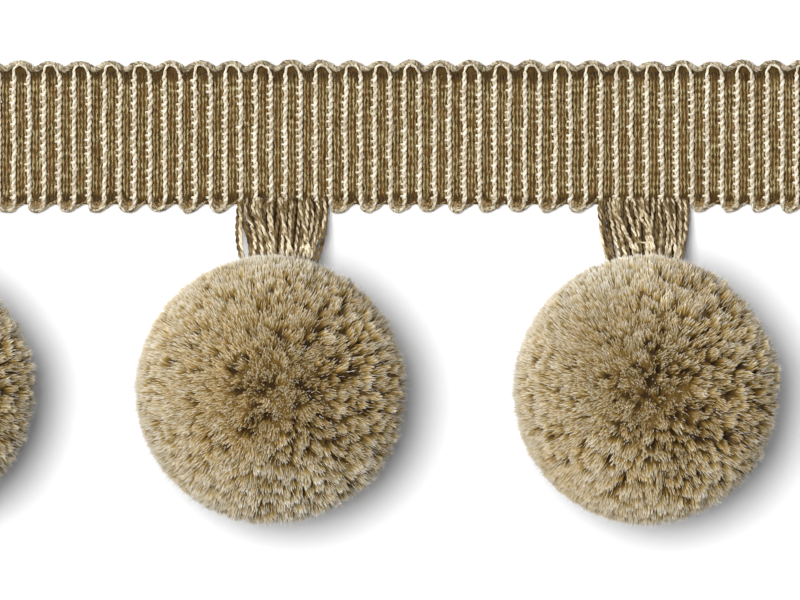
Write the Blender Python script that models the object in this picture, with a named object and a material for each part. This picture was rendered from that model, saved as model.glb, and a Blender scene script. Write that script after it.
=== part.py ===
"""Pompom fringe trim: a cut length of ribbed, scallop-edged heading with round
yarn pompoms, each hung from a flat skein of twisted threads.

The trim lies face up on a flat surface at z = 0. +X runs along the heading,
+Y points from the pompoms to the heading, +Z is up. The origin is under the
middle of the whole trim. All sizes are in metres.
"""

import math

import bmesh
import bpy

# ---------------------------------------------------------------- sizes
MM = 0.001

# heading: a warp-faced ribbed band with a looped (scalloped) edge on each side
RIB_PITCH = 1.687 * MM          # one weft bundle to the next
RIBS_PER_REPEAT = 24            # ribs from one hanger to the next
REPEATS = 3                     # pompoms in this cut length
RIB_COUNT = RIBS_PER_REPEAT * REPEATS
RIBS_PER_LOOP = 2               # an edge loop joins two neighbouring ribs
STEPS_PER_RIB = 4               # facets over the back of one rib

HEADING_LENGTH = RIB_COUNT * RIB_PITCH
CREST_HEIGHT = 1.70 * MM        # floor to the top of a rib
GROOVE_HEIGHT = 1.24 * MM       # floor to the bottom of a groove
LOOP_HEIGHT = 1.05 * MM         # floor to the top of the edge loops' cord
LOOP_RIM_HEIGHT = 0.70 * MM     # the cord rounds down to its outer rim

WARP_TOP = 24.29 * MM           # upper end of the warp ribs
WARP_BOTTOM = 9.96 * MM         # lower end of the warp ribs
TOP_LOOP_TIP = 25.86 * MM       # furthest reach of the upper loops
TOP_LOOP_NOTCH = 25.38 * MM     # where two upper loops meet
BOTTOM_LOOP_TIP = 8.79 * MM
BOTTOM_LOOP_NOTCH = 9.45 * MM
BOTTOM_LOOP_SHIFT = 1.40        # ribs: the lower loops sit off the upper ones
FLUSH_EDGE = 9.70 * MM          # lower edge where a hanger leaves the heading

# hanger: a flat skein of twisted threads, drawn from six ribs
HANGER_RIBS = 6
HANGER_LEAN = 0.38 * MM         # the skein leaves a little to one side
GAP = 0.30 * MM                 # clearance between neighbouring pieces
HANGER_LOBES = 6                # bundles of threads across the skein
HANGER_START_Z = 0.80 * MM      # height of the skein's middle at the heading

# pompom: a ball of cut yarn with a small flat spot where it lies
POMPOM_Y = -10.86 * MM
POMPOM_RADIUS = 15.0 * MM
FLAT_SPOT_DEPTH = 0.40 * MM
POMPOM_SEGMENTS = 28
POMPOM_RINGS = 18
TRIM_UNEVENNESS = 0.16 * MM     # the yarn is cut by hand, so the ball is uneven

# one row for each pompom
#  name     pompom centre x, width along x, width along y, hanger in repeat
POMPOMS = (
    {"name": "1", "x": -42.20 * MM, "width": 29.8 * MM, "depth": 30.0 * MM, "repeat": 0},
    {"name": "2", "x": -0.79 * MM, "width": 30.2 * MM, "depth": 30.0 * MM, "repeat": 1},
    {"name": "3", "x": 40.85 * MM, "width": 29.6 * MM, "depth": 30.0 * MM, "repeat": 2},
)

# sections of a hanger, from the heading to the pompom
#  along: share of its length, half: half width, thick: thickness, dip: sag under its line
HANGER_SECTIONS = (
    {"along": 0.00, "half": 5.05 * MM, "thick": 1.00 * MM, "dip": 0.00 * MM},
    {"along": 0.12, "half": 5.18 * MM, "thick": 1.15 * MM, "dip": 0.06 * MM},
    {"along": 0.26, "half": 5.10 * MM, "thick": 1.35 * MM, "dip": 0.16 * MM},
    {"along": 0.42, "half": 5.00 * MM, "thick": 1.55 * MM, "dip": 0.24 * MM},
    {"along": 0.58, "half": 4.80 * MM, "thick": 1.80 * MM, "dip": 0.26 * MM},
    {"along": 0.74, "half": 4.52 * MM, "thick": 2.05 * MM, "dip": 0.20 * MM},
    {"along": 0.88, "half": 4.22 * MM, "thick": 2.25 * MM, "dip": 0.10 * MM},
    {"along": 1.00, "half": 3.95 * MM, "thick": 2.40 * MM, "dip": 0.00 * MM},
)

# finish of each kind of piece: colour, roughness, metallic
FINISHES = {
    "heading_weave": ((0.42, 0.33, 0.18, 1.0), 0.45, 0.0),
    "hanger_thread": ((0.47, 0.36, 0.18, 1.0), 0.40, 0.0),
    "pompom_yarn": ((0.52, 0.40, 0.24, 1.0), 0.90, 0.0),
}


# ---------------------------------------------------------------- helpers
def clear_scene():
    for thing in list(bpy.data.objects):
        bpy.data.objects.remove(thing, do_unlink=True)


def finish(name):
    """The material of this name, made the first time it is asked for."""
    found = bpy.data.materials.get(name)
    if found:
        return found
    colour, roughness, metallic = FINISHES[name]
    made = bpy.data.materials.new(name)
    made.use_nodes = True
    shader = made.node_tree.nodes["Principled BSDF"]
    shader.inputs["Base Color"].default_value = colour
    shader.inputs["Roughness"].default_value = roughness
    shader.inputs["Metallic"].default_value = metallic
    made.diffuse_color = colour
    return made


def piece(name, bm, finish_name, parent, smooth_angle=None):
    """Turns a bmesh into a named object with its finish."""
    bmesh.ops.recalc_face_normals(bm, faces=bm.faces)
    mesh = bpy.data.meshes.new(name)
    bm.to_mesh(mesh)
    bm.free()
    mesh.materials.append(finish(finish_name))
    if smooth_angle is not None:
        mesh.shade_smooth()
        mesh.set_sharp_from_angle(angle=smooth_angle)
    made = bpy.data.objects.new(name, mesh)
    bpy.context.scene.collection.objects.link(made)
    made.parent = parent
    return made


def grid_faces(bm, rows, closed=False):
    """Quads between neighbouring rows of vertices; closed joins each row's ends."""
    for lower, upper in zip(rows, rows[1:]):
        count = len(lower)
        for i in range(count if closed else count - 1):
            j = (i + 1) % count
            bm.faces.new((lower[i], lower[j], upper[j], upper[i]))


# ---------------------------------------------------------------- heading
def rib_shape(x):
    """0 in the groove between two ribs, 1 on a rib's crest."""
    phase = (x + HEADING_LENGTH / 2) / RIB_PITCH
    return abs(math.sin(math.pi * phase)) ** 0.75


def scallop(x, notch, tip, shift=0.0):
    """Outline of an edge of loops: notch where two loops meet, tip at a loop's middle."""
    phase = ((x + HEADING_LENGTH / 2) / RIB_PITCH - shift) / RIBS_PER_LOOP
    return notch + (tip - notch) * abs(math.sin(math.pi * phase)) ** 0.6


def hanger_x(repeat):
    """The middle of the six ribs that this repeat's hanger is drawn from."""
    return (repeat - (REPEATS - 1) / 2) * RIBS_PER_REPEAT * RIB_PITCH + HANGER_LEAN


def over_hanger(x):
    half = HANGER_RIBS * RIB_PITCH / 2 + 0.35 * MM
    return any(abs(x - hanger_x(row["repeat"])) < half for row in POMPOMS)


def make_heading(parent):
    bm = bmesh.new()
    columns = [
        -HEADING_LENGTH / 2 + i * RIB_PITCH / STEPS_PER_RIB
        for i in range(RIB_COUNT * STEPS_PER_RIB + 1)
    ]

    def lower_edge(x):
        if over_hanger(x):
            return FLUSH_EDGE
        return scallop(x, BOTTOM_LOOP_NOTCH, BOTTOM_LOOP_TIP, BOTTOM_LOOP_SHIFT)

    def upper_edge(x):
        return scallop(x, TOP_LOOP_NOTCH, TOP_LOOP_TIP)

    def rib_top(x):
        return GROOVE_HEIGHT + (CREST_HEIGHT - GROOVE_HEIGHT) * rib_shape(x)

    def row(y_of, z_of):
        return [bm.verts.new((x, y_of(x), z_of(x))) for x in columns]

    rows = [
        row(lower_edge, lambda x: 0.0),
        row(lower_edge, lambda x: LOOP_RIM_HEIGHT),
        row(lambda x: WARP_BOTTOM, lambda x: LOOP_HEIGHT),
        row(lambda x: WARP_BOTTOM + 0.30 * MM, rib_top),
        row(lambda x: WARP_TOP - 0.30 * MM, rib_top),
        row(lambda x: WARP_TOP, lambda x: LOOP_HEIGHT),
        row(upper_edge, lambda x: LOOP_RIM_HEIGHT),
        row(upper_edge, lambda x: 0.0),
    ]
    grid_faces(bm, rows)
    grid_faces(bm, [rows[-1], rows[0]])                      # the flat back
    bm.faces.new([r[0] for r in rows])                       # the two cut ends
    bm.faces.new([r[-1] for r in reversed(rows)])
    return piece("heading_band", bm, "heading_weave", parent, math.radians(40))


# ---------------------------------------------------------------- hangers
def skein_outline(half, thick):
    """Section of a flat skein: lobes over the top, nearly flat beneath."""
    points = []
    steps = HANGER_LOBES * 2
    for i in range(steps + 1):
        across = -1 + 2 * i / steps
        edge = math.sqrt(max(0.0, 1 - abs(across) ** 5))
        lobe = 0.86 + 0.14 * abs(math.sin(math.pi * HANGER_LOBES * (across + 1) / 2))
        points.append((across * half, thick / 2 * (0.35 + 0.65 * edge) * lobe))
    for i in range(HANGER_LOBES + 1):
        across = 1 - 2 * i / HANGER_LOBES
        edge = math.sqrt(max(0.0, 1 - abs(across) ** 5))
        points.append((across * half, -thick / 2 * (0.35 + 0.65 * edge)))
    return points


def make_hanger(row, parent):
    """A lofted skein from the heading's lower edge up into the pompom's side."""
    start_x, start_y, start_z = hanger_x(row["repeat"]), FLUSH_EDGE - GAP, HANGER_START_Z
    centre_z = POMPOM_RADIUS - FLAT_SPOT_DEPTH
    to_x, to_y, to_z = row["x"] - start_x, POMPOM_Y - start_y, centre_z - start_z
    whole = math.sqrt(to_x**2 + to_y**2 + to_z**2)
    reach = whole - POMPOM_RADIUS - TRIM_UNEVENNESS - GAP
    flat = math.hypot(to_y, to_z)
    up_y, up_z = to_z / flat, -to_y / flat                   # square to the skein's run
    bm = bmesh.new()
    rows = []
    for section in HANGER_SECTIONS:
        share = section["along"]
        ring = []
        for across, lift in skein_outline(section["half"], section["thick"]):
            # the far end is hollowed to follow the ball; the near end is cut square
            ball = POMPOM_RADIUS + TRIM_UNEVENNESS + GAP
            sag = ball - math.sqrt(ball**2 - across**2 - lift**2)
            run = (reach * share + sag * share) / whole
            # the near end stays parallel to the heading's edge
            tilt = lift * (1 - share)
            x = start_x + to_x * run + across
            y = start_y + to_y * run + up_y * (lift - tilt)
            z = start_z + to_z * run + up_z * (lift - tilt) + tilt - section["dip"]
            ring.append(bm.verts.new((x, y, z)))
        rows.append(ring)
    grid_faces(bm, rows, closed=True)
    bm.faces.new(rows[0])
    bm.faces.new(list(reversed(rows[-1])))
    return piece(f"hanger_skein_{row['name']}", bm, "hanger_thread", parent, math.radians(50))


# ---------------------------------------------------------------- pompoms
def make_pompom(row, parent):
    bm = bmesh.new()
    turn = 2.3 * row["repeat"]
    centre_z = POMPOM_RADIUS - FLAT_SPOT_DEPTH

    def point(polar, around):
        """A point of the ball; the cut yarn makes it a little uneven."""
        wave = (
            math.sin(3 * around + turn) * math.sin(polar) ** 3
            + math.cos(4 * polar + 1.3 * turn) * math.sin(polar) ** 2
            + math.sin(5 * around - turn) * math.sin(2 * polar) * math.sin(polar) ** 4
        )
        radius = POMPOM_RADIUS + TRIM_UNEVENNESS * wave / 3
        x = row["x"] + radius * math.sin(polar) * math.cos(around) * row["width"] / (2 * POMPOM_RADIUS)
        y = POMPOM_Y + radius * math.sin(polar) * math.sin(around) * row["depth"] / (2 * POMPOM_RADIUS)
        z = centre_z + radius * math.cos(polar)
        return x, y, max(0.0, z)

    floor_polar = math.pi - math.acos(centre_z / POMPOM_RADIUS)
    rings = []
    for i in range(1, POMPOM_RINGS):
        polar = floor_polar * i / (POMPOM_RINGS - 1)
        ring = []
        for j in range(POMPOM_SEGMENTS):
            x, y, z = point(polar, 2 * math.pi * j / POMPOM_SEGMENTS)
            ring.append(bm.verts.new((x, y, 0.0 if i == POMPOM_RINGS - 1 else z)))
        rings.append(ring)
    top = bm.verts.new((row["x"], POMPOM_Y, centre_z + POMPOM_RADIUS))
    for j in range(POMPOM_SEGMENTS):
        bm.faces.new((top, rings[0][j], rings[0][(j + 1) % POMPOM_SEGMENTS]))
    grid_faces(bm, rings, closed=True)
    bm.faces.new(list(reversed(rings[-1])))                  # the flat spot
    return piece(f"pompom_{row['name']}", bm, "pompom_yarn", parent, math.radians(60))


# ---------------------------------------------------------------- the trim
def main():
    clear_scene()
    trim = bpy.data.objects.new("pompom_fringe_trim", None)
    bpy.context.scene.collection.objects.link(trim)
    make_heading(trim)
    for row in POMPOMS:
        make_hanger(row, trim)
        make_pompom(row, trim)


main()
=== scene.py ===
import math

import bpy
import numpy as np
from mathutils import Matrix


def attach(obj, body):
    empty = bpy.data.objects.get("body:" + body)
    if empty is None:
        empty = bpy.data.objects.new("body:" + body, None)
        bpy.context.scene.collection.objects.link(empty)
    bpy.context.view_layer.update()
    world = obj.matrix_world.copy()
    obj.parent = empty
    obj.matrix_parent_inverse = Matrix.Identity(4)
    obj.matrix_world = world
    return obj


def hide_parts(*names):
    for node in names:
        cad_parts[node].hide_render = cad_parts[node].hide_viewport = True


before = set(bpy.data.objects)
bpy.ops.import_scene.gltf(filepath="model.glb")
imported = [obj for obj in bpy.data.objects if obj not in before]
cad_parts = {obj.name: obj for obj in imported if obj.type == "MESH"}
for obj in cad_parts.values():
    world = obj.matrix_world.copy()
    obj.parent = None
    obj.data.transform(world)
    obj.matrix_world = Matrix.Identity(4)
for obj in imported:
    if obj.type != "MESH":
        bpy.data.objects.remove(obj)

# ------------------------------------------------------------------ sizes, in metres
MM = 0.001
PX = 30.0 * MM / 268.0                  # one photo pixel on the trim
PX_X0, PX_Y0 = 279.06, 292.0            # the photo pixel over the origin

RIB = 1.687 * MM
RIBS_PER_REPEAT = 24
REPEATS = 3
RIBS = RIBS_PER_REPEAT * REPEATS
LENGTH = RIBS * RIB

POMPOM_Y = -10.86 * MM
POMPOM_R = 15.0 * MM
FLAT_SPOT = 0.40 * MM
POMPOMS = (
    {"name": "1", "x": -42.06 * MM, "width": 30.2 * MM, "repeat": 0, "seed": 11, "bow": 0.4},
    {"name": "2", "x": -0.79 * MM, "width": 30.2 * MM, "repeat": 1, "seed": 23, "bow": 0.9},
    {"name": "3", "x": 40.85 * MM, "width": 29.6 * MM, "repeat": 2, "seed": 37, "bow": 0.0},
)
HANGER_LEAN = 0.38 * MM
HANGER_RIBS = 6
FLUSH_EDGE = 9.70 * MM
MID_Z = 0.85 * MM                       # the heading's middle

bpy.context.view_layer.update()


def px(x, y):
    """The place on the trim under a photo pixel."""
    return (x - PX_X0) * PX, (PX_Y0 - y) * PX


def hanger_x(repeat):
    return (repeat - (REPEATS - 1) / 2) * RIBS_PER_REPEAT * RIB + HANGER_LEAN


# ------------------------------------------------------------------ mesh making
class Strands:
    """Collects tubes, all of one piece, and makes one mesh of them."""

    def __init__(self):
        self.verts, self.quads, self.tris = [], [], []
        self.quad_uv, self.tri_uv = [], []
        self.normals = []
        self.count = 0

    def add(self, centre, u, v, ru, rv, sides, along, across0, dacross, swap=False,
            phase=None, lobe=None, tip=False, root=False, tip_lift=0.0):
        """centre, u, v: (n, p, 3); ru, rv: (n, p). along: (n, p) and across0: (n,) lay out the map."""
        n, p = centre.shape[:2]
        a = np.arange(sides) * 2 * np.pi / sides
        ang = np.broadcast_to(a, (n, p, sides))
        if phase is not None:
            ang = ang + phase[..., None]
        ca, sa = np.cos(ang), np.sin(ang)
        if lobe is not None:
            grow = 1 + lobe[0] * np.cos(2 * (ang - lobe[1][..., None]))
            ca, sa = ca * grow, sa * grow
        ring = (centre[:, :, None, :]
                + (ca * ru[..., None])[..., None] * u[:, :, None, :]
                + (sa * rv[..., None])[..., None] * v[:, :, None, :])
        base = self.count
        self.verts.append(ring.reshape(-1, 3))
        self.count += n * p * sides
        idx = base + np.arange(n * p * sides).reshape(n, p, sides)
        nxt = np.roll(idx, -1, axis=2)
        quads = np.stack([idx[:, :-1], nxt[:, :-1], nxt[:, 1:], idx[:, 1:]], -1).reshape(-1, 4)
        self.quads.append(quads)
        s = np.arange(sides)
        al = along[:, :, None]
        b0 = across0[:, None, None] + dacross * s / sides
        b1 = across0[:, None, None] + dacross * (s + 1) / sides
        b0 = np.broadcast_to(b0, (n, p - 1, sides))
        b1 = np.broadcast_to(b1, (n, p - 1, sides))
        a0 = np.broadcast_to(al[:, :-1], (n, p - 1, sides))
        a1 = np.broadcast_to(al[:, 1:], (n, p - 1, sides))
        uv = np.stack([np.stack([a0, b0], -1), np.stack([a0, b1], -1),
                       np.stack([a1, b1], -1), np.stack([a1, b0], -1)], -2)
        if swap:
            uv = uv[..., ::-1]
        self.quad_uv.append(uv.reshape(-1, 4, 2))
        for end, wanted in ((0, root), (-1, tip)):
            if not wanted:
                continue
            along_dir = centre[:, -1] - centre[:, -2] if end else centre[:, 0] - centre[:, 1]
            along_dir = along_dir / np.linalg.norm(along_dir, axis=1, keepdims=True)
            point = centre[:, end] + along_dir * (tip_lift if end else 0.0)
            t = self.count + np.arange(n)
            self.verts.append(point)
            self.count += n
            r0, r1 = idx[:, end], nxt[:, end]
            tt = np.broadcast_to(t[:, None], r0.shape)
            tri = np.stack([r0, r1, tt], -1) if end else np.stack([r1, r0, tt], -1)
            self.tris.append(tri.reshape(-1, 3))
            e = np.broadcast_to(along[:, end][:, None], (n, sides))
            c0 = np.broadcast_to(across0[:, None] + dacross * s / sides, (n, sides))
            c1 = np.broadcast_to(across0[:, None] + dacross * (s + 1) / sides, (n, sides))
            far = np.clip(e + (0.02 if end else -0.02), 0, 1)
            pts = [np.stack([e, c0], -1), np.stack([e, c1], -1), np.stack([far, (c0 + c1) / 2], -1)]
            if not end:
                pts = [pts[1], pts[0], pts[2]]
            uv3 = np.stack(pts, -2)
            if swap:
                uv3 = uv3[..., ::-1]
            self.tri_uv.append(uv3.reshape(-1, 3, 2))

    def add_spikes(self, rings, radii, tip, v_at, tone, dtone, phase, sides=3, lift=None, own=0.7):
        """Pointed yarn ends. rings: (n, k, 3), radii: (n, k), tip: (n, 3), v_at: k + 1 places down the map."""
        n, k = radii.shape
        axis = unit(tip - rings[:, 0])
        helper = np.where(np.abs(axis[:, 2:3]) < 0.9, np.array([[0.0, 0.0, 1.0]]), np.array([[1.0, 0.0, 0.0]]))
        u = unit(np.cross(axis, helper))
        v = np.cross(axis, u)
        a = phase[:, None] + np.arange(sides)[None] * 2 * np.pi / sides
        out = np.cos(a)[..., None] * u[:, None] + np.sin(a)[..., None] * v[:, None]
        ring = rings[:, :, None, :] + out[:, None] * radii[..., None, None]
        self.verts.append(ring.reshape(-1, 3))
        idx = self.count + np.arange(n * k * sides).reshape(n, k, sides)
        self.count += n * k * sides
        nxt = np.roll(idx, -1, axis=2)
        s = np.arange(sides)
        t0 = np.broadcast_to(tone[:, None, None] + dtone * s / sides, (n, max(k - 1, 1), sides))
        t1 = np.broadcast_to(tone[:, None, None] + dtone * (s + 1) / sides, (n, max(k - 1, 1), sides))
        if k > 1:
            self.quads.append(np.stack([idx[:, :-1], nxt[:, :-1], nxt[:, 1:], idx[:, 1:]], -1).reshape(-1, 4))
            v0 = np.broadcast_to(np.array(v_at[:k - 1])[None, :, None], (n, k - 1, sides))
            v1 = np.broadcast_to(np.array(v_at[1:k])[None, :, None], (n, k - 1, sides))
            uv = np.stack([np.stack([t0, v0], -1), np.stack([t1, v0], -1),
                           np.stack([t1, v1], -1), np.stack([t0, v1], -1)], -2)
            self.quad_uv.append(uv.reshape(-1, 4, 2))
        self.verts.append(tip)
        if lift is not None:
            way = lift[:, None] * (1 - own)
            self.normals.append(unit(np.repeat(unit(out * own + way)[:, None], k, 1)).reshape(-1, 3))
            above = np.array([[0.0, 0.0, 1.0]]) - axis * axis[:, 2:3]
            self.normals.append(unit(above + out[:, 0] * 0.45 + axis * 0.25))
        t = np.broadcast_to((self.count + np.arange(n))[:, None], (n, sides))
        self.count += n
        self.tris.append(np.stack([idx[:, -1], nxt[:, -1], t], -1).reshape(-1, 3))
        a0, a1 = t0[:, 0], t1[:, 0]
        e0, e1 = np.full((n, sides), v_at[k - 1]), np.full((n, sides), v_at[k])
        uv3 = np.stack([np.stack([a0, e0], -1), np.stack([a1, e0], -1), np.stack([(a0 + a1) / 2, e1], -1)], -2)
        self.tri_uv.append(uv3.reshape(-1, 3, 2))

    def make(self, name, material, clamp=None):
        verts = np.concatenate(self.verts).astype(np.float32)
        if clamp is not None:
            verts[:, 2] = clamp(verts)
        quads = np.concatenate(self.quads) if self.quads else np.zeros((0, 4), int)
        tris = np.concatenate(self.tris) if self.tris else np.zeros((0, 3), int)
        me = bpy.data.meshes.new(name)
        me.vertices.add(len(verts))
        me.vertices.foreach_set("co", verts.ravel())
        nl = quads.size + tris.size
        me.loops.add(nl)
        me.loops.foreach_set("vertex_index", np.concatenate([quads.ravel(), tris.ravel()]).astype(np.int32))
        me.polygons.add(len(quads) + len(tris))
        starts = np.concatenate([np.arange(len(quads)) * 4, quads.size + np.arange(len(tris)) * 3])
        me.polygons.foreach_set("loop_start", starts.astype(np.int32))
        me.update(calc_edges=True)
        layer = me.uv_layers.new(name="OFBake")
        uv = np.concatenate([np.concatenate(self.quad_uv).reshape(-1, 2) if self.quad_uv else np.zeros((0, 2)),
                             np.concatenate(self.tri_uv).reshape(-1, 2) if self.tri_uv else np.zeros((0, 2))])
        layer.uv.foreach_set("vector", uv.astype(np.float32).ravel())
        me.materials.append(material)
        me.shade_smooth()
        me.validate()
        if self.normals:
            me.normals_split_custom_set_from_vertices(np.concatenate(self.normals).astype(float).tolist())
        ob = bpy.data.objects.new(name, me)
        bpy.context.scene.collection.objects.link(ob)
        return ob


def unit(a):
    return a / np.maximum(np.linalg.norm(a, axis=-1, keepdims=True), 1e-12)


def frames(centre, hint):
    """Two directions square to each path, the first as near to hint as it can be."""
    t = np.gradient(centre, axis=1)
    t = unit(t)
    h = np.broadcast_to(hint, centre.shape)
    u = unit(h - (h * t).sum(-1, keepdims=True) * t)
    v = np.cross(t, u)
    return t, u, v


def catmull(points, count):
    """A smooth curve of count points through the given ones."""
    p = np.asarray(points, float)
    p = np.concatenate([[2 * p[0] - p[1]], p, [2 * p[-1] - p[-2]]])
    t = np.linspace(0, len(p) - 3 - 1e-9, count)
    i = t.astype(int)
    f = (t - i)[:, None]
    a, b, c, d = p[i], p[i + 1], p[i + 2], p[i + 3]
    return 0.5 * (2 * b + (c - a) * f + (2 * a - 5 * b + 4 * c - d) * f**2 + (3 * b - a - 3 * c + d) * f**3)


# ------------------------------------------------------------------ materials
# a pompom yarn's colour from deep in the ball out to its side near the end, and then its cut end: dark deep down as
# painted shade in the pile, pale and bluish near the end partly as its own colour and partly as painted rim light, and
# the cut end darker as painted shade seen end-on
RUN = [(0.0, (0.024, 0.011, 0.002)), (0.25, (0.052, 0.027, 0.0045)), (0.42, (0.108, 0.062, 0.0125)),
       (0.55, (0.215, 0.132, 0.031)), (0.67, (0.375, 0.270, 0.104)), (0.80, (0.80, 0.745, 0.645)),
       (0.83, (0.215, 0.143, 0.052)), (1.0, (0.175, 0.112, 0.037))]
# across each strip the yarn's tone, paler and bluer up the strip; the strips run golden to greyer. Raised tufts sit
# paler and greyer as painted light and tuft edges darker as painted shade, over a random tone
TONE_LIGHT_AND_SHADE = [(0.0, (0.64, 0.60, 0.51)), (0.5, (0.96, 0.95, 0.93)), (1.0, (1.32, 1.36, 1.44))]
CAST = [(0.0, (1.05, 0.98, 0.84)), (0.25, (1.02, 0.995, 0.93)), (0.5, (0.99, 1.0, 1.01)), (0.75, (0.96, 1.0, 1.09))]


def new_material(name):
    m = bpy.data.materials.new(name)
    m.use_nodes = True
    nt = m.node_tree
    shader = nt.nodes["Principled BSDF"]
    return m, nt, shader


def node(nt, kind, **values):
    n = nt.nodes.new(kind)
    for k, v in values.items():
        if k.startswith("in_"):
            key = k[3:]
            n.inputs[int(key) if key.isdigit() else key.replace("_", " ")].default_value = v
        else:
            setattr(n, k, v)
    return n


def ramp(nt, stops, interpolation="LINEAR"):
    r = nt.nodes.new("ShaderNodeValToRGB")
    r.color_ramp.interpolation = interpolation
    e = r.color_ramp.elements
    while len(e) > 1:
        e.remove(e[-1])
    e[0].position, e[0].color = stops[0][0], (*stops[0][1], 1)
    for at, colour in stops[1:]:
        x = e.new(at)
        x.color = (*colour, 1)
    return r


def pompom_material():
    """Brushed wool yarn. Across the map each yarn has a tone, partly its own and partly painted light and shade from
    where it stands in the pile; down it run the root, darkened as painted shade, the side and the cut end.
    """
    m, nt, shader = new_material("pompom_yarn_pile")
    L = nt.links
    uv = node(nt, "ShaderNodeUVMap", uv_map="OFBake")
    sep = node(nt, "ShaderNodeSeparateXYZ")
    L.new(uv.outputs[0], sep.inputs[0])
    run = ramp(nt, RUN)
    L.new(sep.outputs[1], run.inputs[0])
    # the map has four strips across, from golden yarn to greyer, and each runs from dark to pale; where a yarn lands is
    # painted light and shade as well as its own tone
    strips = node(nt, "ShaderNodeMath", operation="MULTIPLY", in_1=4.0)
    L.new(sep.outputs[0], strips.inputs[0])
    in_strip = node(nt, "ShaderNodeMath", operation="FRACT")
    L.new(strips.outputs[0], in_strip.inputs[0])
    own = ramp(nt, TONE_LIGHT_AND_SHADE)
    L.new(in_strip.outputs[0], own.inputs[0])
    hue = ramp(nt, CAST, "CONSTANT")
    L.new(sep.outputs[0], hue.inputs[0])
    # fine fibres along the yarn
    fast = node(nt, "ShaderNodeMapping", vector_type="POINT")
    fast.inputs["Scale"].default_value = (460.0, 9.0, 1.0)
    L.new(uv.outputs[0], fast.inputs[0])
    n2 = node(nt, "ShaderNodeTexNoise", noise_dimensions="2D")
    n2.inputs["Scale"].default_value = 1.0
    n2.inputs["Detail"].default_value = 3.0
    L.new(fast.outputs[0], n2.inputs["Vector"])
    fibre = ramp(nt, [(0.28, (0.86, 0.85, 0.82)), (0.72, (1.13, 1.14, 1.15))])
    L.new(n2.outputs[0], fibre.inputs[0])
    last = run.outputs[0]
    for other in (own, hue, fibre):
        mix = node(nt, "ShaderNodeMix", data_type="RGBA", blend_type="MULTIPLY")
        mix.inputs[0].default_value = 1.0
        L.new(last, mix.inputs[6])
        L.new(other.outputs[0], mix.inputs[7])
        last = mix.outputs[2]
    L.new(last, shader.inputs["Base Color"])
    b = node(nt, "ShaderNodeBump")
    b.inputs["Strength"].default_value = 0.22
    b.inputs["Distance"].default_value = 0.00005
    L.new(n2.outputs[0], b.inputs["Height"])
    L.new(b.outputs[0], shader.inputs["Normal"])
    shader.inputs["Roughness"].default_value = 0.9
    shader.inputs["Specular IOR Level"].default_value = 0.15
    shader.inputs["Sheen Weight"].default_value = 0.14
    shader.inputs["Sheen Roughness"].default_value = 0.5
    shader.inputs["Sheen Tint"].default_value = (1.0, 0.95, 0.86, 1)
    return m


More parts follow.
